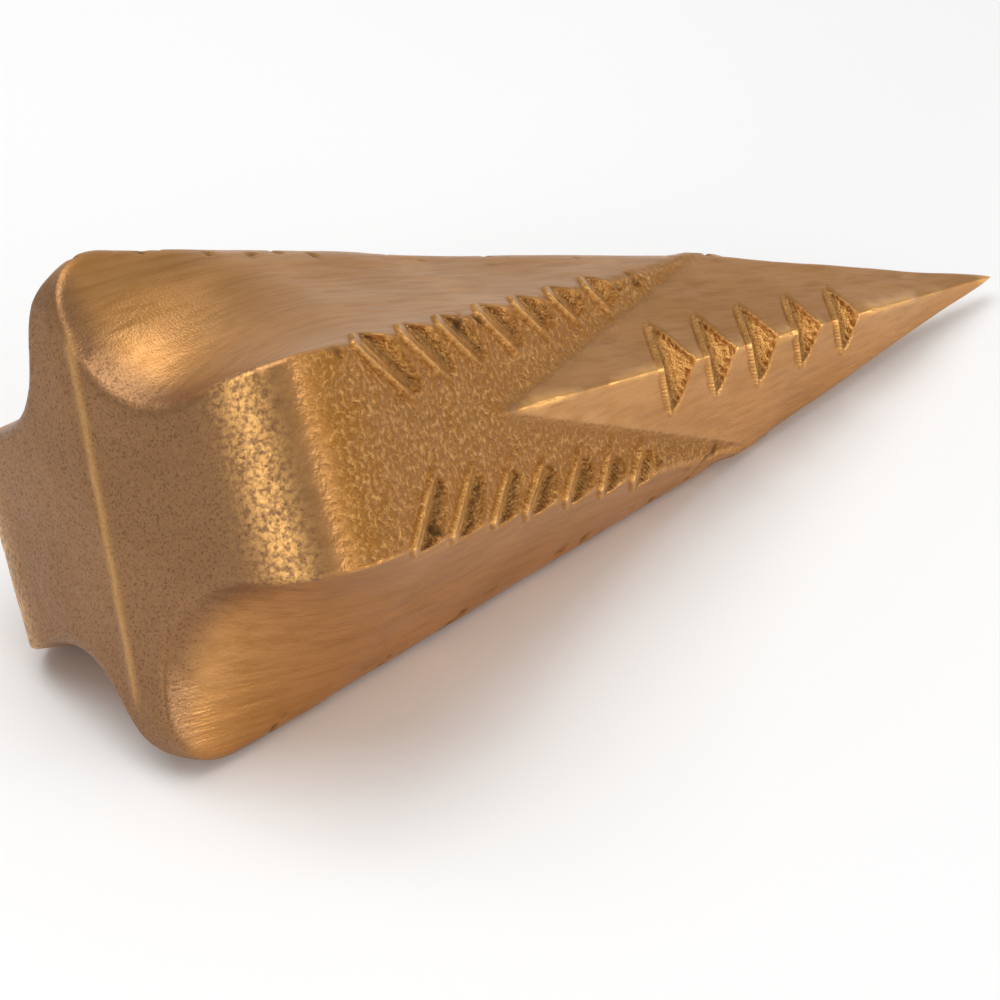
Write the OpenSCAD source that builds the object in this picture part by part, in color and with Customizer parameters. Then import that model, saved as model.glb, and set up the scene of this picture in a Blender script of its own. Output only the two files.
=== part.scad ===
// Four-edged splitting wedge: one solid steel drop forging, lying on one of its
// four flutes as it rests on a bench. Millimetres.
// Forging axes: x runs from the striking face to the tip, y across the two side
// edges (the parting line of the dies), z through the two flat cheeks.

/* [Body] */
// Striking face to tip
body_length = 191; // [180:1:205]
// Thickness over the two cheeks, at the crown end
cheek_depth = 70.8; // [66:0.2:74]
// Width over the two side edges, at the crown end
side_width = 68; // [64:0.5:72]
// Width of a cheek at the crown end
cheek_width = 28; // [24:0.5:32]
// Distance from the striking face to the widest place of the crown
crown_length = 17.2; // [15:0.2:20]

/* [Point] */
// Tip to the waist, where flutes and cheeks run out
point_length = 69; // [62:0.5:76]
// Width over the side edges at the waist
waist_width = 30; // [26:0.5:34]
// Width of the side edge land at the waist
waist_land = 3.5; // [2:0.1:5]
// Tip to the place where each ridge rises out of its cheek
ridge_length = 138.5; // [130:0.5:146]

/* [Crown] */
// Width of the flat land across the middle of the striking face
face_land = 6.4; // [5:0.2:9]
// Draft of the striking face on both sides of its land, in degrees
face_draft = 10.7; // [6:0.1:12]
// Rounding between the striking face and a cheek
cheek_round = 16; // [12:0.5:17]
// Rounding between the striking face and a side edge
side_round = 13; // [9:0.5:14]

/* [Flutes] */
// Hollow of a flute below its two edges, at the crown end
flute_hollow = 2.2; // [1:0.1:3]
// Radius of the flute's hollow across the flute
flute_radius = 88; // [75:1:130]
// Radius of the scoop that carries a flute down over the crown
scoop_radius = 17; // [15:0.5:20]
// How deep the scoop lies below the flute, at the striking face
scoop_drop = 12.2; // [10:0.2:13]
// Slope of the scoop against the flute, in degrees
scoop_tilt = 35; // [30:1:40]
// How far the scoop lies from the flute's middle towards the side edge
scoop_shift = 2.8; // [1:0.1:4]

/* [Notches] */
// Included angle of the V notches
notch_angle = 84; // [76:1:92]
// Notches along each cheek edge
edge_notches = 7; // [3:1:7]
// Tip to the first notch of an edge row
edge_first = 160.5; // [156:0.5:163]
// Spacing of the edge notches
edge_pitch = 10.2; // [9.5:0.1:10.5]
// Depth of a notch below the cheek edge
edge_notch_depth = 2.1; // [1:0.1:2.5]
// Slant of the edge notches, in degrees
edge_slant = 37; // [25:1:45]
// How far the first notch of a row reaches into the cheek
edge_reach = 9; // [7:0.5:10]
// How much shorter each following notch reaches
edge_reach_step = 0.6; // [0.5:0.05:0.8]
// How far inside the edge the first notch of a row is cut
row_inset = 2.4; // [0:0.2:3]
// Notches along each ridge
ridge_notches = 5; // [2:1:5]
// Tip to the first notch of a ridge
ridge_first = 92.5; // [88:0.5:96]
// Spacing of the ridge notches
ridge_pitch = 11.9; // [10.5:0.1:12]
// Depth of the first ridge notch, below the ridge
ridge_notch_depth = 4.4; // [3:0.1:4.6]
// How much shallower each following ridge notch is
ridge_notch_step = 0.2; // [0:0.05:0.3]

/* [Hidden] */
$fn = 96;
gold_lacquer = [0.66, 0.48, 0.30];

// Where the crown, the waist and the ridge's root lie along the forging
crown_x = crown_length;
waist_x = body_length - point_length;
root_x = body_length - ridge_length;
reach = 2 * body_length;

// Cheek line in the side view, z over x
cheek_fall = (cheek_depth / 2 - waist_land / 2) / (waist_x - crown_x);
function cheek_z(x) = cheek_depth / 2 - cheek_fall * (x - crown_x);
cheek_slope = atan(cheek_fall);

// Side edge line in the plan view, y over x
side_fall = (side_width / 2 - waist_width / 2) / (waist_x - crown_x);
function side_y(x) = side_width / 2 - side_fall * (x - crown_x);
side_slope = atan(side_fall);

// Edge between a cheek and its flute, y over x
function cheek_edge_y(x) =
    cheek_width / 2 + (waist_width / 2 - cheek_width / 2) * (x - crown_x) / (waist_x - crown_x);

// Ridge of the point, z over x, and how its two facets fall away across y
ridge_slope = atan(cheek_z(root_x) / ridge_length);
function ridge_z(x) = (body_length - x) * tan(ridge_slope);
facet_drop = (ridge_z(waist_x) - waist_land / 2) * cos(ridge_slope);
facet_fall = facet_drop / (waist_width / 2);

// Corner of the side view, where the drafted face line meets the cheek line
face_fall = tan(face_draft);
cheek_corner_z = (cheek_depth / 2 + cheek_fall * (crown_x + face_fall * face_land / 2))
    / (1 + cheek_fall * face_fall);
cheek_corner = [face_fall * (cheek_corner_z - face_land / 2), cheek_corner_z];
// Corner of the plan view, where the face meets the side edge line. The plan view
// reaches a little past the side view at both ends, which alone sets the length.
overlap = 0.2;
side_corner = [-overlap, side_y(-overlap)];

// Centre of a circle that rounds a corner, between the directions a and b
function round_reach(a, b, radius) = radius / sin(abs(a - b) / 2);
function round_centre(corner, a, b, radius) =
    corner + round_reach(a, b, radius) * [cos((a + b) / 2), sin((a + b) / 2)];
function arc_points(centre, radius, from, to) =
    [for (k = [0 : arc_steps]) centre + radius * [
        cos(from + (to - from) * k / arc_steps),
        sin(from + (to - from) * k / arc_steps)
    ]];
arc_steps = 14;
// The same outline on the other side of the middle line, in the order that closes it
function mirrored(points) = [for (k = [len(points) - 1 : -1 : 0]) [points[k][0], -points[k][1]]];
cheek_centre = round_centre(cheek_corner, -90 - face_draft, -cheek_slope, cheek_round);
side_centre = round_centre(side_corner, -90, -side_slope, side_round);

// Middle line of a flute, from its root between two crown edges to the waist
flute_top = [crown_x, cheek_width / 2, cheek_depth / 2];
flute_side = [crown_x, side_width / 2, waist_land / 2];
flute_end = [waist_x, waist_width / 2, waist_land / 2];
flute_chord = (flute_side - flute_top) / norm(flute_side - flute_top);
flute_normal = [0, -flute_chord[2], flute_chord[1]];
flute_root = (flute_top + flute_side) / 2 - flute_hollow * flute_normal;
flute_line = (flute_end - flute_root) / norm(flute_end - flute_root);
flute_out = cross(flute_line, flute_chord) / norm(cross(flute_line, flute_chord));
flute_axis = flute_root + flute_radius * flute_out;

// Middle line of a scoop, which leaves the flute near the crown's widest place
scoop_foot = flute_root - (crown_x - face_land / 2) * flute_line
    + scoop_shift * flute_chord - scoop_drop * flute_out;
scoop_line = cos(scoop_tilt) * flute_line + sin(scoop_tilt) * flute_out;
scoop_out = cos(scoop_tilt) * flute_out - sin(scoop_tilt) * flute_line;
scoop_axis = scoop_foot + scoop_radius * scoop_out;

// Lying pose: the plane over the three corners of one flute is the floor
rest_cross = cross(flute_end - flute_top, flute_side - flute_top);
rest_out = rest_cross / norm(rest_cross);
roll_angle = atan2(rest_out[1], rest_out[2]);
lie_angle = asin(rest_out[0]);
lift = rest_out * flute_end;
face_y = side_centre[1] + sqrt(side_round * side_round - side_centre[0] * side_centre[0]);
back_x = -(face_y * sin(roll_angle) + face_land / 2 * cos(roll_angle)) * sin(lie_angle);
middle_x = (body_length * cos(lie_angle) + back_x) / 2;

// Side view: land, draft, rounding and cheek, above and below
module side_view() {
    upper = concat(
        [[0, face_land / 2]],
        arc_points(cheek_centre, cheek_round, 180 - face_draft, 90 - cheek_slope),
        [[waist_x, waist_land / 2]]
    );
    polygon(concat(upper, mirrored(upper)));
}

// Plan view: face, rounding and side edge to the waist, on both sides
module plan_view() {
    right = concat(
        arc_points(side_centre, side_round, 180, 90 - side_slope),
        [[waist_x + overlap, side_y(waist_x + overlap)]]
    );
    polygon(concat(right, mirrored(right)));
}

// Long cylinder through a point, along a direction
module rod(centre, line, radius) {
    translate(centre)
        rotate([0, acos(line[2]), atan2(line[1], line[0])])
            cylinder(r = radius, h = reach, center = true, $fn = 360);
}

// One hollow flute between a cheek and a side edge, with its scoop over the crown
module flute() {
    rod(flute_axis, flute_line, flute_radius);
    rod(scoop_axis, scoop_line, scoop_radius);
}

// The drafted body from the striking face to the waist
module shank() {
    difference() {
        intersection() {
            rotate([90, 0, 0])
                linear_extrude(height = reach, center = true)
                    side_view();
            linear_extrude(height = reach, center = true)
                plan_view();
        }
        for (across = [0, 1])
            for (over = [0, 1])
                mirror([0, across, 0])
                    mirror([0, 0, over])
                        flute();
    }
}

// The two facets that meet in a ridge, as a solid below them
module ridge_roof() {
    translate([body_length, 0, 0])
        rotate([0, ridge_slope, 0])
            rotate([90, 0, -90])
                linear_extrude(height = reach, center = true)
                    polygon([
                        [0, 0],
                        [-body_length, -body_length * facet_fall],
                        [body_length, -body_length * facet_fall]
                    ]);
}

// The four-faced point, with a narrow land along each side edge
module point() {
    intersection() {
        linear_extrude(height = reach, center = true)
            polygon([
                [body_length, 0],
                [waist_x, waist_width / 2],
                [root_x, 0],
                [waist_x, -waist_width / 2]
            ]);
        ridge_roof();
        mirror([0, 0, 1])
            ridge_roof();
    }
}

// V-shaped cutter whose sharp line lies along y, from -inner to outer
module notch_cutter(opening, inner, outer) {
    translate([0, outer, 0])
        rotate([90, 0, 0])
            linear_extrude(height = inner + outer)
                polygon([
                    [0, 0],
                    [opening * tan(notch_angle / 2), opening],
                    [-opening * tan(notch_angle / 2), opening]
                ]);
}

// Notches across one ridge
module ridge_row() {
    for (i = [0 : ridge_notches - 1]) {
        x = body_length - ridge_first + i * ridge_pitch;
        depth = ridge_notch_depth - i * ridge_notch_step;
        translate([x, 0, ridge_z(x) - depth])
            notch_cutter(2 * ridge_notch_depth, waist_width / 2, waist_width / 2);
    }
}

// Slanted notches along one cheek edge
module edge_row() {
    for (i = [0 : edge_notches - 1]) {
        x = body_length - edge_first + i * edge_pitch;
        inset = row_inset * (1 - i / edge_notches);
        translate([x, cheek_edge_y(x) - inset, cheek_z(x) - edge_notch_depth])
            rotate([0, 0, edge_slant])
                notch_cutter(3 * edge_notch_depth, edge_reach - i * edge_reach_step, cheek_width / 2);
    }
}

// The whole forging on its own axes
module forging() {
    difference() {
        union() {
            shank();
            point();
        }
        for (over = [0, 1])
            mirror([0, 0, over]) {
                ridge_row();
                for (across = [0, 1])
                    mirror([0, across, 0])
                        edge_row();
            }
    }
}

// The forging lying on the floor, tip towards +x, origin below its middle
module wedge_forging() {
    color(gold_lacquer)
        translate([-middle_x, 0, lift])
            rotate([roll_angle, lie_angle, 0])
                forging();
}

wedge_forging();
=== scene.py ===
"""The looks of a four-edged splitting wedge: one steel drop forging in gold lacquer,
lying on one of its flutes. The shape is built in millimetres on the forging's own
axes (x from the striking end to the tip, y across the side edges, z through the
cheeks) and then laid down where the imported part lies.
"""

import math
from types import SimpleNamespace

import bpy
import numpy as np
from mathutils import Matrix, Vector


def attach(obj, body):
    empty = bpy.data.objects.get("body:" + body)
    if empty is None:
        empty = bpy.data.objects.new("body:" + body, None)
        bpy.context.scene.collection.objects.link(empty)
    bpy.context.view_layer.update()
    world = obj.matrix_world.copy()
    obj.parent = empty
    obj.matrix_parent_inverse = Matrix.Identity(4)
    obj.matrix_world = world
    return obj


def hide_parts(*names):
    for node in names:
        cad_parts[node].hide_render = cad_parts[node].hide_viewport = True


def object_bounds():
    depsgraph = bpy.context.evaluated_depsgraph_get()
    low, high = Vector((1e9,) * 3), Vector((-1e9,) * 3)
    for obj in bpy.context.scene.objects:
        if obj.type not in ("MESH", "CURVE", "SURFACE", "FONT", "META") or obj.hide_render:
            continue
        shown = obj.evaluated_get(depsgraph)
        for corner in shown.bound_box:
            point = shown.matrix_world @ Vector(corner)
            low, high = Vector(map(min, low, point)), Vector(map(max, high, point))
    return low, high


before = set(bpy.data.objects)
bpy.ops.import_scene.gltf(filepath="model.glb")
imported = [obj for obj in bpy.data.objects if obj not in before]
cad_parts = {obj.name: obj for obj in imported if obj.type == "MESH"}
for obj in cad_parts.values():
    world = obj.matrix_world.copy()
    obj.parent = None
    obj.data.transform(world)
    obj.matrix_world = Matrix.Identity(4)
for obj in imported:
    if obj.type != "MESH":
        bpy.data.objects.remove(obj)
cad_low, cad_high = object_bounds()

MM = 0.001
NOTCH_SEED = 7

# ---- the forging's driving sizes, in millimetres, as in the part ----
LENGTH = 191.0
CHEEK_DEPTH, CHEEK_WIDTH = 70.8, 28.0
SIDE_WIDTH, CROWN_X = 68.0, 17.2
WAIST_X, WAIST_WIDTH, WAIST_LAND = 122.0, 30.0, 3.5
RIDGE_LENGTH = 138.5
FACE_LAND, FACE_DRAFT = 6.4, math.radians(10.7)
CHEEK_ROUND, SIDE_ROUND = 16.0, 13.0
FLUTE_HOLLOW, FLUTE_RADIUS = 2.2, 88.0
SCOOP_RADIUS, SCOOP_DROP = 17.0, 12.2
SCOOP_TILT, SCOOP_SHIFT = math.radians(35.0), 2.8
EDGE_FIRST, EDGE_PITCH, EDGE_COUNT = 160.5, 10.2, 7
EDGE_SLANT, ROW_INSET = math.radians(37.0), 2.4
RIDGE_FIRST, RIDGE_PITCH, RIDGE_COUNT = 92.5, 11.9, 5
RIDGE_DEPTH, RIDGE_DEPTH_STEP = 4.4, 0.2
NOTCH_HALF = math.radians(42.0)

# ---- details that only show here, in millimetres unless they say otherwise ----
EDGE_DEPTH = 2.5        # an edge notch, a little deeper and shorter than in the part
EDGE_REACH, EDGE_REACH_STEP = 7.6, 0.5
TIP_WALL = math.radians(32.0)   # slope of a notch's tip-side wall
WALL_HOLLOW = 0.26      # how far that wall is hollowed, as a share of the depth
NOTCH_ROUND = 0.4       # rounding of a notch's rim
END_RISE = 6.0          # how far a notch's floor rises past its closed ends
LIP_HEIGHT, LIP_WIDTH = 0.36, 0.26
TRENCH_DEPTH = 0.22     # the dip behind a lip
RIDGE_REACH = 12.0      # a ridge notch's half length, past both facets
EDGE_ROUND = 1.1        # rounding of the edge between a cheek and a flute
POINT_EDGE_ROUND = 0.54  # rounding of the edges beside the point
CREASE_ROUND = 1.6      # fillet where the point rises out of the cheek
RIDGE_ROUND, RIDGE_CUT = 0.5, 0.3   # softness of the point's ridge
LAND_ROUND = 2.0        # rounding between the striking face's land and its drafts
TIP_ROUND = 0.9
POINT_SPREAD = 0.8      # how far the point spreads past its V before it meets the cheek
FLUTE_BEND = 9.0        # rounding where a flute bends down into its scoop
FAR_SHALLOW = 2.2       # how much shallower the scoops are on the -z side
# The parting bead on the striking face: its place, slant, bow, half width and length
BEAD_SHIFT, BEAD_SLANT, BEAD_BOW, BEAD_WIDTH = 1.4, 0.11, 0.0012, 0.75
BEAD_FULL, BEAD_END = 22.0, 27.0
CALM_TIP = 14.0         # the unevenness fades over this length of the tip

root_x = LENGTH - RIDGE_LENGTH
cheek_fall = (CHEEK_DEPTH / 2 - WAIST_LAND / 2) / (WAIST_X - CROWN_X)
side_fall = (SIDE_WIDTH / 2 - WAIST_WIDTH / 2) / (WAIST_X - CROWN_X)
arm_fall = WAIST_WIDTH / 2 / (WAIST_X - root_x)
face_fall = math.tan(FACE_DRAFT)


def cheek_z(x):
    """How high a cheek's plane stands."""
    return CHEEK_DEPTH / 2 - cheek_fall * (x - CROWN_X)


def side_y(x):
    """How far out a side edge runs."""
    return SIDE_WIDTH / 2 - side_fall * (x - CROWN_X)


def cheek_edge_y(x):
    """How far out the edge between a cheek and a flute runs."""
    run = (x - CROWN_X) / (WAIST_X - CROWN_X)
    return CHEEK_WIDTH / 2 + (WAIST_WIDTH - CHEEK_WIDTH) / 2 * run


ridge_fall = cheek_z(root_x) / RIDGE_LENGTH
facet_fall = (ridge_fall * (LENGTH - WAIST_X) - WAIST_LAND / 2) / (WAIST_WIDTH / 2)
tip_side_fall = WAIST_WIDTH / 2 / (LENGTH - WAIST_X)


def unit(v):
    return v / np.linalg.norm(v)


# The hollow of a flute, as the cylinder whose inside is cut away
flute_top = np.array([CROWN_X, CHEEK_WIDTH / 2, CHEEK_DEPTH / 2])
flute_side = np.array([CROWN_X, SIDE_WIDTH / 2, WAIST_LAND / 2])
flute_end = np.array([WAIST_X, WAIST_WIDTH / 2, WAIST_LAND / 2])
flute_chord = unit(flute_side - flute_top)
flute_normal = np.array([0.0, -flute_chord[2], flute_chord[1]])
flute_root = (flute_top + flute_side) / 2 - FLUTE_HOLLOW * flute_normal
flute_line = unit(flute_end - flute_root)
flute_out = unit(np.cross(flute_line, flute_chord))
flute_axis = flute_root + FLUTE_RADIUS * flute_out

# The scoop that carries a flute down over the crown, as another cylinder
scoop_foot = (flute_root - (CROWN_X - FACE_LAND / 2) * flute_line
              + SCOOP_SHIFT * flute_chord - SCOOP_DROP * flute_out)
scoop_line = math.cos(SCOOP_TILT) * flute_line + math.sin(SCOOP_TILT) * flute_out
scoop_out = math.cos(SCOOP_TILT) * flute_out - math.sin(SCOOP_TILT) * flute_line
scoop_axis = scoop_foot + SCOOP_RADIUS * scoop_out

# ---- where the part lies: on the plane over the three corners of one flute ----
rest_out = unit(np.cross(flute_end - flute_top, flute_side - flute_top))
roll_angle = math.atan2(rest_out[1], rest_out[2])
lie_angle = math.asin(rest_out[0])
lift = float(rest_out @ flute_end)
middle_x = LENGTH * math.cos(lie_angle) - cad_high.x / MM
laid = Matrix.Rotation(lie_angle, 4, "Y") @ Matrix.Rotation(roll_angle, 4, "X")
laid.translation = (-middle_x, 0.0, lift)

# ---- lattice noise ----
TABLE_SIZE = 1 << 16
HASH = (73856093, 19349663, 83492791)   # primes that mix a cell's three numbers
FAR_ORIGIN = 1000.0     # keeps every cell number positive
OCTAVE_SHARE, OCTAVE_SEED = 0.55, 31


def noise(points, size, seed, octaves=1):
    """Smooth lattice noise in about -1 to 1, the same on every run."""
    total = np.zeros(len(points))
    weight = 0.0
    for octave in range(octaves):
        rng = np.random.default_rng(seed + OCTAVE_SEED * octave)
        table = rng.uniform(-1, 1, TABLE_SIZE)
        scaled = points / (size / 2.0 ** octave) + FAR_ORIGIN
        cell = np.floor(scaled).astype(np.int64)
        part = scaled - cell
        part = part * part * part * (part * (part * 6 - 15) + 10)
        value = np.zeros(len(points))
        for corner in np.ndindex(2, 2, 2):
            at, share = 0, 1.0
            for axis, up in enumerate(corner):
                at = at ^ ((cell[:, axis] + up) * HASH[axis])
                share = share * (part[:, axis] if up else 1 - part[:, axis])
            value += table[at & (TABLE_SIZE - 1)] * share
        total += value * OCTAVE_SHARE ** octave
        weight += OCTAVE_SHARE ** octave
    return total / weight


def soft_max(a, b, r):
    """The larger of two distances, with a round of radius r where they meet."""
    flat = np.minimum(np.maximum(a, b), -r)
    return flat + np.hypot(np.maximum(a + r, 0), np.maximum(b + r, 0))


def soft_min(a, b, r):
    """The smaller of two distances, with a fillet of radius r where they meet."""
    return -soft_max(-a, -b, r)


def bump(distance, width):
    """1 at no distance, and fading to nothing over about two widths."""
    return np.exp(-(distance / width) ** 2)


def step(value, low, high):
    """0 at low and 1 at high, with a smooth rise between."""
    t = np.clip((value - low) / (high - low), 0, 1)
    return t * t * (3 - 2 * t)


NOTCH_NEAR = 13.0       # no notch reaches further than this along x
MIDDLE_SLACK = 2.0      # an edge notch may reach this far past the middle


class Notch:
    """One V notch pressed along z, with a lip along its rim on the striking side.

    over is the cheek that it is in, +1 or -1, and across is the edge that it
    belongs to, +1 or -1, or 0 on the ridge.
    """

    def __init__(self, x, y, bottom, slant, reach, over, across, depth):
        self.x, self.y, self.bottom, self.slant = x, y, bottom, slant
        self.reach, self.over, self.across, self.depth = reach, over, across, depth

    def locate(self, p):
        """Which points are near, and their places across, along and above the notch."""
        near = (np.abs(p[:, 0] - self.x) < NOTCH_NEAR) & (p[:, 2] * self.over > 0)
        if self.across:
            near &= p[:, 1] * self.across > -MIDDLE_SLACK
        q = p[near]
        mirror = self.across or 1
        dx, dy = q[:, 0] - self.x, q[:, 1] * mirror - self.y
        u = dx * math.cos(self.slant) + dy * math.sin(self.slant)
        v = dy * math.cos(self.slant) - dx * math.sin(self.slant)
        w = q[:, 2] * self.over - self.bottom
        return near, u, v, w

    def wall(self, u, w):
        """The distance to the wall on the striking side."""
        return -u * math.cos(NOTCH_HALF) - w * math.sin(NOTCH_HALF)

    def tip_wall(self, u, w):
        """The distance to the hollowed wall on the tip side."""
        run = np.clip(u / (self.depth * 0.7), 0, 1)
        belly = np.sin(run * math.pi) * self.depth * WALL_HOLLOW
        return (u / math.tan(TIP_WALL) - belly - w) * math.sin(TIP_WALL)

    def inside(self, v):
        """1 along the notch and 0 past its ends; an edge notch is open at the edge."""
        if self.across:
            return step(v, -self.reach - 1.5, -self.reach + 1.5)
        return step(-np.abs(v), -self.reach, -self.reach + 2)


def notches():
    """Every notch of the forging, each a little different from the next."""
    rng = np.random.default_rng(NOTCH_SEED)
    made = []
    for over in (1, -1):
        for i in range(RIDGE_COUNT):
            x = LENGTH - RIDGE_FIRST + i * RIDGE_PITCH + rng.uniform(-0.4, 0.4)
            depth = RIDGE_DEPTH - i * RIDGE_DEPTH_STEP + rng.uniform(-0.25, 0.25)
            bottom = ridge_fall * (LENGTH - x) - depth
            slant = rng.uniform(-0.03, 0.03)
            made.append(Notch(x, 0.0, bottom, slant, RIDGE_REACH, over, 0, depth))
        for across in (1, -1):
            for i in range(EDGE_COUNT):
                x = LENGTH - EDGE_FIRST + i * EDGE_PITCH + rng.uniform(-0.5, 0.5)
                y = cheek_edge_y(x) - ROW_INSET * (1 - i / EDGE_COUNT)
                depth = EDGE_DEPTH + rng.uniform(-0.2, 0.25)
                reach = EDGE_REACH - i * EDGE_REACH_STEP + rng.uniform(-0.4, 0.4)
                slant = EDGE_SLANT + rng.uniform(-0.05, 0.05)
                bottom = cheek_z(x) - depth
                made.append(Notch(x, y, bottom, slant, reach, over, across, depth))
    return made


NOTCHES = notches()


def off_line(p, centre, line):
    """How far points lie from a line."""
    off = p - centre
    return np.linalg.norm(off - np.outer(off @ line, line), axis=1)


def level(fall):
    """Turns a height over a slope into a distance from it."""
    return math.cos(math.atan(fall))


def parts_of(p):
    """The distances to the forging's faces, before notches. Inside is negative."""
    x, y, z = p[:, 0], np.abs(p[:, 1]), np.abs(p[:, 2])
    to = SimpleNamespace()
    to.cheek = (z - cheek_z(x)) * level(cheek_fall)
    to.side = (y - side_y(x)) * level(side_fall)
    to.tip_side = (y - tip_side_fall * (LENGTH - x)) * level(tip_side_fall)
    draft = (face_fall * (z - FACE_LAND / 2) - x) * level(face_fall)
    to.face = soft_max(draft, -x, LAND_ROUND)
    folded = np.stack([x, y, z], 1)
    flute = FLUTE_RADIUS - off_line(folded, flute_axis, flute_line)
    scoop = SCOOP_RADIUS - off_line(folded, scoop_axis, scoop_line)
    scoop -= FAR_SHALLOW * step(-p[:, 2], 0.0, 4.0)
    to.flute = soft_max(flute, scoop, FLUTE_BEND)
    soft_y = np.sqrt(y * y + RIDGE_ROUND ** 2) - RIDGE_CUT
    slope = math.sqrt(1 + ridge_fall ** 2 + facet_fall ** 2)
    to.facet = (z - ridge_fall * (LENGTH - x) + facet_fall * soft_y) / slope
    to.arm = (y - arm_fall * (x - root_x)) * level(arm_fall)
    return to


def smooth_body(p):
    """The forging before its notches."""
    to = parts_of(p)
    over_cheek = soft_max(to.cheek, to.face, CHEEK_ROUND)
    over_side = soft_max(to.side, to.face, SIDE_ROUND)
    shank = soft_max(np.maximum(over_cheek, over_side), to.flute, EDGE_ROUND)
    shank = np.maximum(shank, to.tip_side)
    point = soft_max(to.facet, to.tip_side, POINT_EDGE_ROUND)
    point = np.maximum(point, to.arm - POINT_SPREAD)
    body = soft_min(shank, point, CREASE_ROUND)
    return soft_max(body, p[:, 0] - LENGTH, TIP_ROUND)


def notched(p, body):
    """The body with its notches cut and their lips raised."""
    out = body.copy()
    for n in NOTCHES:
        near, u, v, w = n.locate(p)
        inside, wall = n.inside(v), n.wall(u, w)
        rim = bump(wall - LIP_WIDTH * 1.2, LIP_WIDTH) * inside * step(w, -0.2, 0.8)
        if n.across:
            rim *= 0.35 + 0.65 * step(v, -n.reach, -0.2 * n.reach)
        trench = bump(wall - LIP_WIDTH * 3.6, LIP_WIDTH * 1.1) * inside * step(w, 0.3, 1.5)
        lipped = out[near] - LIP_HEIGHT * rim + TRENCH_DEPTH * trench
        cut = np.maximum(wall, n.tip_wall(u, w)) + (1 - inside) * END_RISE
        out[near] = soft_max(lipped, -cut, NOTCH_ROUND)
    return out


def hollows(p):
    """How much painted shade each point gets at the foot of a notch's wall, from 0 to 1."""
    shade = np.zeros(len(p))
    for n in NOTCHES:
        near, u, v, w = n.locate(p)
        foot = bump(n.wall(u, w) + 0.5, 0.75) * step(w, n.depth + 1.0, n.depth * 0.3)
        foot *= step(-np.abs(v), -n.reach, -n.reach + 2)
        if n.across:  # an edge notch's shade ends sooner on the -y side
            foot *= step(v * n.across, -n.reach, -n.reach + 2)
        shade[near] = np.maximum(shade[near], foot)
    return shade


FAN_X = 36.0            # the rays for the striking end fan out from here
FAN_ROWS = 1.5          # rows in the fan per row over the same length of the shank
TIP_GAP, TIP_START = 0.05, 2.0   # where the last row and the tip's own ray start
RAY_LENGTH = 60.0       # longer than any way out of the body


def grid_rays(rows_per_mm, around):
    """Rays from inside the forging that meet its skin once each, in rows round its axis."""
    fan_rows = int(FAN_ROWS * FAN_X * rows_per_mm)
    fan = np.linspace(math.pi / 2, 0, fan_rows, endpoint=False)[1:]
    run = np.linspace(FAN_X, LENGTH - TIP_GAP, int((LENGTH - FAN_X) * rows_per_mm))
    start = np.concatenate([np.full(len(fan), FAN_X), run])
    back = np.concatenate([fan, np.zeros(len(run))])
    angle = np.arange(around) * 2 * math.pi / around
    rows = len(start)
    origin = np.zeros((rows, around, 3))
    origin[:, :, 0] = start[:, None]
    aim = np.zeros((rows, around, 3))
    aim[:, :, 0] = -np.sin(back)[:, None]
    aim[:, :, 1] = np.cos(back)[:, None] * np.cos(angle)[None, :]
    aim[:, :, 2] = np.cos(back)[:, None] * np.sin(angle)[None, :]
    ends = np.array([[FAN_X, 0.0, 0.0], [LENGTH - TIP_START, 0.0, 0.0]])
    end_aims = np.array([[-1.0, 0.0, 0.0], [1.0, 0.0, 0.0]])
    origin = np.concatenate([origin.reshape(-1, 3), ends])
    aim = np.concatenate([aim.reshape(-1, 3), end_aims])
    return origin, aim, rows


def meet(origin, aim, field, halvings):
    """Where each ray leaves the body, by halving."""
    low, high = np.zeros(len(origin)), np.full(len(origin), RAY_LENGTH)
    for _ in range(halvings):
        middle = (low + high) / 2
        out = field(origin + aim * middle[:, None]) > 0
        high = np.where(out, middle, high)
        low = np.where(out, low, middle)
    return origin + aim * ((low + high) / 2)[:, None]


def zones_at(p):
    """How much each point of the skin belongs to each kind of surface, from 0 to 1."""
    to = parts_of(p)
    wall = np.maximum(to.cheek, to.side)
    past_root = step(p[:, 0], root_x - 3, root_x + 3)
    on_cheek = step(to.cheek, -5.0, -1.2) * step(to.arm, -0.6, 0.5)
    return {
        "cheek": on_cheek * step(to.flute, 0.2, -0.8),
        "face": step(to.face, -7.0, -1.5),
        "point": step(-to.arm, -0.2, 1.0) * step(to.facet, -0.9, -0.2),
        "edge": bump(wall - to.flute, 1.6) * step(to.flute, -2.5, -0.6),
        # crease: where painted shade darkens the crease at the root of the point
        "crease": bump(to.facet - to.cheek, 0.7) * step(-to.facet, 2.2, 0.8) * past_root,
        # shoulder: the band on the crown's shoulders where a painted highlight goes
        "shoulder_highlight": bump(to.cheek + 10.5, 4.5) * bump(to.face + 1.6, 2.4),
    }


def drawn_out(p, stretch):
    """The points with x squeezed, so that noise at them is drawn out along x."""
    return np.stack([p[:, 0] / stretch, p[:, 1], p[:, 2]], 1)


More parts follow.
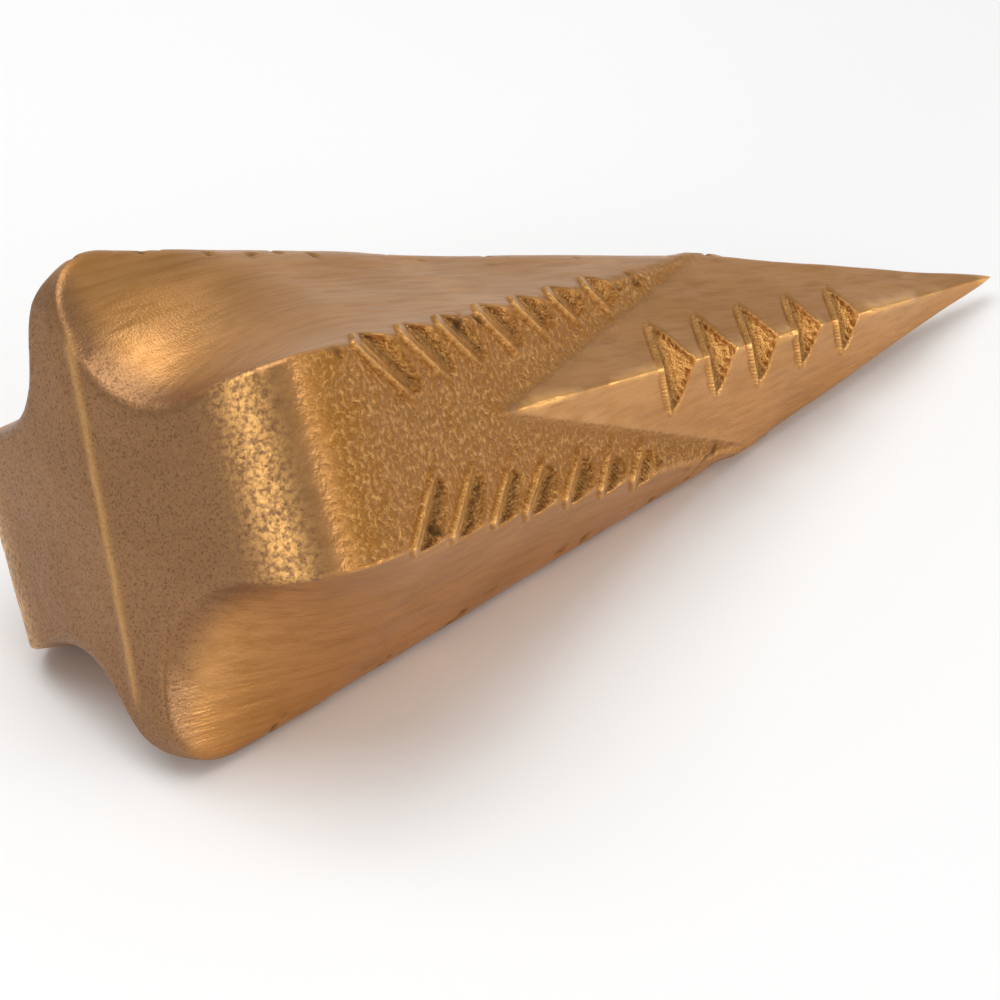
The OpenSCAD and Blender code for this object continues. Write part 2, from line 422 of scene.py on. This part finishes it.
def relief_at(p, zones):
    """The forging's unevenness in millimetres, its chips, and its polished lines.

    Each call of noise has its own size in millimetres and its own seed.
    """
    x, y, z = p.T
    swells = 0.30 * noise(p, 24.0, 11) + 0.10 * noise(p, 9.0, 12)
    grit = (0.16 * noise(p, 1.5, 13, 2) + 0.16 * noise(p, 3.6, 14)) * zones["cheek"]
    lines = 0.05 * noise(drawn_out(p, 14.0), 1.3, 15, 2)
    lines = lines * (1 - zones["cheek"]) * (1 - zones["face"])
    dents = (0.07 * noise(p, 5.0, 16) + 0.05 * noise(p, 1.6, 17)) * zones["face"]

    chips = step(noise(p, 2.6, 18, 2), 0.28, 0.6) * zones["edge"]
    off_bead = z - BEAD_SHIFT - BEAD_SLANT * y + BEAD_BOW * y ** 2
    bead = bump(off_bead, BEAD_WIDTH) * zones["face"] * step(np.abs(y), BEAD_END, BEAD_FULL)
    ridge = bump(np.abs(y) + 0.4 * noise(p, 2.0, 20), 0.9) * zones["point"]
    ridge = ridge * step(noise(p, 7.0, 21), -0.5, 0.1)
    nub = bump(np.hypot(x - root_x - 1.5, y), 2.2) * (z > 0)

    relief = swells + grit + lines + dents - 0.55 * chips
    relief += (0.16 + 0.14 * noise(p, 3.0, 19)) * bead
    relief += 0.55 * ridge * step(x, root_x - 2, root_x + 2) + 0.7 * nub
    relief *= step(LENGTH - x, 1.0, CALM_TIP)
    return relief, chips, np.maximum(0.4 * bead, 0.85 * ridge)


def faces_round(rows, around):
    """The corners of every face, row by row, and the size of each face."""
    ring = np.arange(around)
    onward = (ring + 1) % around
    first = np.arange(rows - 1)[:, None] * around
    second = first + around
    quads = np.stack([first + ring, second + ring, second + onward, first + onward], -1)
    face_pole, tip_pole = rows * around, rows * around + 1
    last = (rows - 1) * around
    start_fan = np.stack([np.full(around, face_pole), ring, onward], 1)
    end_fan = np.stack([np.full(around, tip_pole), last + onward, last + ring], 1)
    corners = np.concatenate([quads.ravel(), start_fan.ravel(), end_fan.ravel()])
    sizes = np.repeat([4, 3], [(rows - 1) * around, 2 * around])
    return corners, sizes


def mesh_of(name, skin, corners, sizes):
    """A smooth mesh from its points and faces."""
    mesh = bpy.data.meshes.new(name)
    mesh.vertices.add(len(skin))
    mesh.vertices.foreach_set("co", skin.astype(np.float32).ravel())
    mesh.loops.add(len(corners))
    mesh.loops.foreach_set("vertex_index", corners.astype(np.int32))
    mesh.polygons.add(len(sizes))
    starts = np.cumsum(sizes) - sizes
    mesh.polygons.foreach_set("loop_start", starts.astype(np.int32))
    mesh.update(calc_edges=True)
    mesh.validate()
    mesh.shade_smooth()
    return mesh


def write_layer(mesh, name, values):
    """Stores one number or one place per point, for the material to read."""
    kind, field = ("FLOAT", "value") if values.ndim == 1 else ("FLOAT_VECTOR", "vector")
    layer = mesh.attributes.new(name, kind, "POINT")
    layer.data.foreach_set(field, values.astype(np.float32).ravel())


ROWS_PER_MM, AROUND = ((2.6, 760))
PLAIN_HALVINGS, SKIN_HALVINGS = 15, 18
GRAIN_STRETCH = 22.0    # how far the lacquer's streaks are drawn out along x


def forging_mesh():
    """One dense mesh of the forging, laid down in metres, with its zones as layers."""
    origin, aim, rows = grid_rays(ROWS_PER_MM, AROUND)
    plain = meet(origin, aim, smooth_body, PLAIN_HALVINGS)
    zones = zones_at(plain)
    relief, chips, bead = relief_at(plain, zones)
    del zones["point"]  # it only shapes the relief
    skin = meet(origin, aim, lambda p: notched(p, smooth_body(p) - relief), SKIN_HALVINGS)

    gap = smooth_body(skin) - relief
    # cut also carries painted light on the notch walls, and lip a painted highlight along each
    # rim
    zones["cut"] = step(-gap, 0.25, 0.9)
    zones["lip"] = step(gap, 0.12, 0.42)
    zones["chip"], zones["bead"] = chips, bead
    # painted shade at the foot of each notch's wall
    zones["hollow"] = hollows(skin) * step(-gap, 0.05, 0.4)

    mesh = mesh_of("wedge_body", skin, *faces_round(rows, AROUND))
    for name, value in zones.items():
        write_layer(mesh, name, value)
    write_layer(mesh, "grain", drawn_out(skin, GRAIN_STRETCH))
    write_layer(mesh, "forged", skin)
    mesh.transform(Matrix.Scale(MM, 4) @ laid)
    return mesh


class Nodes:
    """Short calls for building one material's node tree."""

    def __init__(self, material):
        material.use_nodes = True
        self.tree = material.node_tree
        self.tree.nodes.clear()

    def add(self, kind, **values):
        """A new node with its settings."""
        node = self.tree.nodes.new(kind)
        for name, value in values.items():
            setattr(node, name, value)
        return node

    def feed(self, value, socket):
        """Links a socket, or sets its number or colour."""
        if hasattr(value, "is_output"):
            self.tree.links.new(value, socket)
        else:
            socket.default_value = value

    def zone(self, name):
        """A layer of the mesh that holds numbers."""
        return self.add("ShaderNodeAttribute", attribute_name=name).outputs["Fac"]

    def place(self, name):
        """A layer of the mesh that holds places."""
        return self.add("ShaderNodeAttribute", attribute_name=name).outputs["Vector"]

    def sum_of(self, operation, a, b, clamp=False):
        """One piece of arithmetic."""
        node = self.add("ShaderNodeMath", operation=operation, use_clamp=clamp)
        self.feed(a, node.inputs[0])
        self.feed(b, node.inputs[1])
        return node.outputs[0]

    def times(self, a, b):
        """The product."""
        return self.sum_of("MULTIPLY", a, b)

    def most(self, a, b):
        """The larger of the two."""
        return self.sum_of("MAXIMUM", a, b)

    def noise(self, place, scale, detail=3.0, rough=0.55):
        """Noise at a place; scale is in repeats per unit of the place."""
        node = self.add("ShaderNodeTexNoise")
        self.feed(place, node.inputs["Vector"])
        node.inputs["Scale"].default_value = scale
        node.inputs["Detail"].default_value = detail
        node.inputs["Roughness"].default_value = rough
        return node.outputs["Fac"]

    def ramp(self, value, low, high, out_low=0.0, out_high=1.0):
        """A smooth rise from out_low to out_high as the value goes from low to high."""
        node = self.add("ShaderNodeMapRange", interpolation_type="SMOOTHSTEP")
        self.feed(value, node.inputs["Value"])
        node.inputs["From Min"].default_value = low
        node.inputs["From Max"].default_value = high
        node.inputs["To Min"].default_value = out_low
        node.inputs["To Max"].default_value = out_high
        return node.outputs["Result"]

    def mix(self, share, a, b):
        """Colour a, with a share of colour b."""
        node = self.add("ShaderNodeMix", data_type="RGBA")
        self.feed(share, node.inputs["Factor"])
        self.feed(a, node.inputs[6])
        self.feed(b, node.inputs[7])
        return node.outputs[2]

    def blend(self, share, a, b):
        """Number a, with a share of number b."""
        node = self.add("ShaderNodeMix", data_type="FLOAT")
        self.feed(share, node.inputs["Factor"])
        self.feed(a, node.inputs[2])
        self.feed(b, node.inputs[3])
        return node.outputs[0]

    def bump(self, height, depth, normal=None):
        """A bumped normal; depth is in metres."""
        node = self.add("ShaderNodeBump")
        self.feed(height, node.inputs["Height"])
        node.inputs["Distance"].default_value = depth
        node.inputs["Strength"].default_value = 1.0
        if normal is not None:
            self.feed(normal, node.inputs["Normal"])
        return node.outputs["Normal"]

    def finish(self, shader):
        """Shows the shader on the surface."""
        output = self.add("ShaderNodeOutputMaterial")
        self.feed(shader.outputs["BSDF"], output.inputs["Surface"])


GOLD = (0.50, 0.240, 0.072, 1)
GOLD_DEEP = (0.33, 0.130, 0.016, 1)
GOLD_PALE = (0.58, 0.290, 0.100, 1)
GOLD_DULL = (0.165, 0.092, 0.058, 1)
# GOLD_BRIGHT serves painted glints, painted highlights and painted light, and the worn beads
GOLD_BRIGHT = (0.95, 0.52, 0.16, 1)
# painted shade at the foot of the notches' walls
SHADE_BROWN = (0.115, 0.052, 0.014, 1)
# dark scale specks on the striking face, and painted shade in the crease
SCALE_AND_SHADE_DARK = (0.055, 0.030, 0.016, 1)


def gold_lacquer():
    """Gold lacquer sprayed thinly over forged steel: gritty on the cheeks, satin elsewhere."""
    material = bpy.data.materials.new("gold_lacquer")
    n = Nodes(material)
    forged, grain = n.place("forged"), n.place("grain")
    cheek, face, edge = n.zone("cheek"), n.zone("face"), n.zone("edge")
    cut, lip = n.zone("cut"), n.zone("lip")
    crease, bead, chip = n.zone("crease"), n.zone("bead"), n.zone("chip")
    shoulder_highlight, hollow = n.zone("shoulder_highlight"), n.zone("hollow")

    clouds = n.noise(forged, 0.055, 3.0)
    grit = n.noise(forged, 1.25, 4.0, 0.6)
    fine = n.noise(forged, 2.6, 2.0, 0.6)
    flow = n.noise(grain, 0.9, 3.0, 0.6)
    streaks = n.noise(grain, 0.35, 2.0)

    # Colour: clouds and streaks, then cheeks with painted glints, striking end, worn beads,
    # painted highlights on lips and shoulders, painted light and shade in the notches, and
    # painted shade in the crease
    tone = n.mix(n.ramp(clouds, 0.35, 0.65), GOLD, GOLD_PALE)
    tone = n.mix(n.ramp(flow, 0.40, 0.72, 0.0, 0.35), tone, GOLD_DEEP)
    tone = n.mix(n.times(cheek, 0.82), tone, GOLD_DEEP)
    # painted glints on the tops of the cheeks' grit
    sparkle = n.times(n.ramp(grit, 0.44, 0.74), cheek)
    tone = n.mix(n.times(sparkle, 0.62), tone, GOLD_BRIGHT)
    speckle = n.times(n.ramp(fine, 0.54, 0.66), face)
    tone = n.mix(n.times(face, 0.62), tone, GOLD_DULL)
    tone = n.mix(n.times(speckle, 0.45), tone, SCALE_AND_SHADE_DARK)
    # painted highlights on the lips and along the crown's shoulders, with real wear on the
    # beads
    highlight_and_wear = n.most(lip, bead)
    highlight_and_wear = n.most(highlight_and_wear, n.times(shoulder_highlight, n.ramp(grit, 0.35, 0.65)))
    tone = n.mix(n.times(highlight_and_wear, 0.8), tone, GOLD_BRIGHT)
    pocket = n.times(cut, n.ramp(grit, 0.40, 0.60))
    # painted light on the notches' walls
    tone = n.mix(n.times(cut, 0.80), tone, GOLD_BRIGHT)
    tone = n.mix(n.times(pocket, 0.15), tone, GOLD_DEEP)
    # painted shade at the foot of each notch's wall
    tone = n.mix(n.times(hollow, 0.72), tone, SHADE_BROWN)
    # painted shade in the crease at the root of the point, with dark chips and specks along
    # the edges
    dark = n.most(n.times(crease, n.ramp(grit, 0.42, 0.6, 0.0, 0.35)), chip)
    dark = n.most(dark, n.times(edge, n.ramp(fine, 0.62, 0.72, 0.0, 0.4)))
    tone = n.mix(n.times(dark, 0.75), tone, SCALE_AND_SHADE_DARK)

    # Roughness: streaky satin, with sparkling grit on the cheeks and a duller striking end
    satin, gritty = n.ramp(streaks, 0.3, 0.7, 0.34, 0.46), n.ramp(grit, 0.3, 0.7, 0.50, 0.30)
    rough = n.blend(cheek, satin, gritty)
    rough = n.blend(face, rough, n.ramp(fine, 0.3, 0.7, 0.38, 0.55))
    rough = n.blend(dark, rough, 0.75)

    # Bump: grit on cheeks and notch walls, flow lines elsewhere, and fine orange peel
    normal = n.bump(n.times(grit, n.most(cheek, n.times(cut, 0.8))), 0.0011)
    off_cheek = n.sum_of("SUBTRACT", 1.0, cheek, clamp=True)
    normal = n.bump(n.times(flow, off_cheek), 0.00012, normal)
    normal = n.bump(fine, 0.00006, normal)

    shader = n.add("ShaderNodeBsdfPrincipled")
    n.feed(tone, shader.inputs["Base Color"])
    n.feed(rough, shader.inputs["Roughness"])
    n.feed(normal, shader.inputs["Normal"])
    shader.inputs["Metallic"].default_value = 0.94
    shader.inputs["Coat Weight"].default_value = 0.08
    shader.inputs["Coat Roughness"].default_value = 0.32
    n.finish(shader)
    return material


def wedge():
    """The forging, standing for its CAD node."""
    body = bpy.data.objects.new("wedge_body", forging_mesh())
    bpy.context.scene.collection.objects.link(body)
    body.data.materials.append(gold_lacquer())
    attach(body, "root")
    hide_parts("wedge_forging")


FLOOR_HALF = 60.0       # metres, so that no view shows its edge
FLOOR_GREY, FLOOR_PALE = (0.86, 0.86, 0.86, 1), (0.88, 0.88, 0.88, 1)


def floor():
    """A pale plain floor, far larger than the view."""
    mesh = bpy.data.meshes.new("floor")
    half = FLOOR_HALF
    corners = [(-half, -half, 0), (half, -half, 0), (half, half, 0), (-half, half, 0)]
    mesh.from_pydata(corners, [], [(0, 1, 2, 3)])
    plane = bpy.data.objects.new("floor", mesh)
    bpy.context.scene.collection.objects.link(plane)
    material = bpy.data.materials.new("floor_paper")
    n = Nodes(material)
    place = n.add("ShaderNodeTexCoord").outputs["Object"]
    shader = n.add("ShaderNodeBsdfPrincipled")
    n.feed(n.mix(n.noise(place, 3.0), FLOOR_GREY, FLOOR_PALE), shader.inputs["Base Color"])
    shader.inputs["Roughness"].default_value = 0.9
    shader.inputs["Specular IOR Level"].default_value = 0.1
    n.finish(shader)
    mesh.materials.append(material)


def softbox(name, place, aim, size, watts):
    """A soft rectangular lamp that faces its aim."""
    data = bpy.data.lights.new(name, "AREA")
    data.shape = "RECTANGLE"
    data.size, data.size_y = size
    data.energy = watts
    lamp = bpy.data.objects.new(name, data)
    lamp.location = place
    lamp.rotation_euler = (Vector(aim) - Vector(place)).to_track_quat("-Z", "Y").to_euler()
    bpy.context.scene.collection.objects.link(lamp)


WORLD_STRENGTH = 0.50


def lights():
    """Plain studio light: four softboxes and an even pale surrounding."""
    softbox("overhead", (-0.20, 0.20, 0.80), (0.0, 0.0, 0.03), (0.9, 0.7), 5.2)
    softbox("butt_side", (-0.90, -0.24, 0.26), (-0.08, 0.0, 0.04), (0.22, 0.20), 1.15)
    softbox("low_fill", (0.35, -0.80, 0.16), (0.03, 0.0, 0.02), (0.90, 0.25), 4.0)
    softbox("backdrop", (0.95, 0.75, 0.30), (0.0, 0.0, 0.04), (1.4, 0.5), 0.6)
    world = bpy.data.worlds.new("studio")
    bpy.context.scene.world = world
    world.use_nodes = True
    sky = world.node_tree.nodes["Background"]
    sky.inputs["Color"].default_value = (1, 1, 1, 1)
    sky.inputs["Strength"].default_value = WORLD_STRENGTH
    bpy.context.scene.view_settings.view_transform = "Standard"


VIEW_TURN, VIEW_LIFT = math.radians(45.38), math.radians(29.99)
VIEW_ROLL, VIEW_DISTANCE = math.radians(1.07), 0.6254
VIEW_LENS, VIEW_SENSOR = 155.6, 36.0
VIEW_TARGET = (-0.0183, -0.0013, 0.0069)


def camera():
    """A long lens, 30 degrees above the floor, on the striking end's side of the wedge."""
    data = bpy.data.cameras.new("camera")
    data.sensor_width = VIEW_SENSOR
    data.lens = VIEW_LENS
    data.clip_start, data.clip_end = 0.01, 50.0
    eye = bpy.data.objects.new("camera", data)
    flat = math.cos(VIEW_LIFT)
    ahead = Vector((flat * math.sin(VIEW_TURN), flat * math.cos(VIEW_TURN),
                    -math.sin(VIEW_LIFT)))
    eye.location = Vector(VIEW_TARGET) - ahead * VIEW_DISTANCE
    aim = ahead.to_track_quat("-Z", "Y").to_matrix().to_4x4()
    aim = aim @ Matrix.Rotation(VIEW_ROLL, 4, "Z")
    eye.rotation_euler = aim.to_euler()
    bpy.context.scene.collection.objects.link(eye)
    bpy.context.scene.camera = eye


wedge()
floor()
lights()
camera()
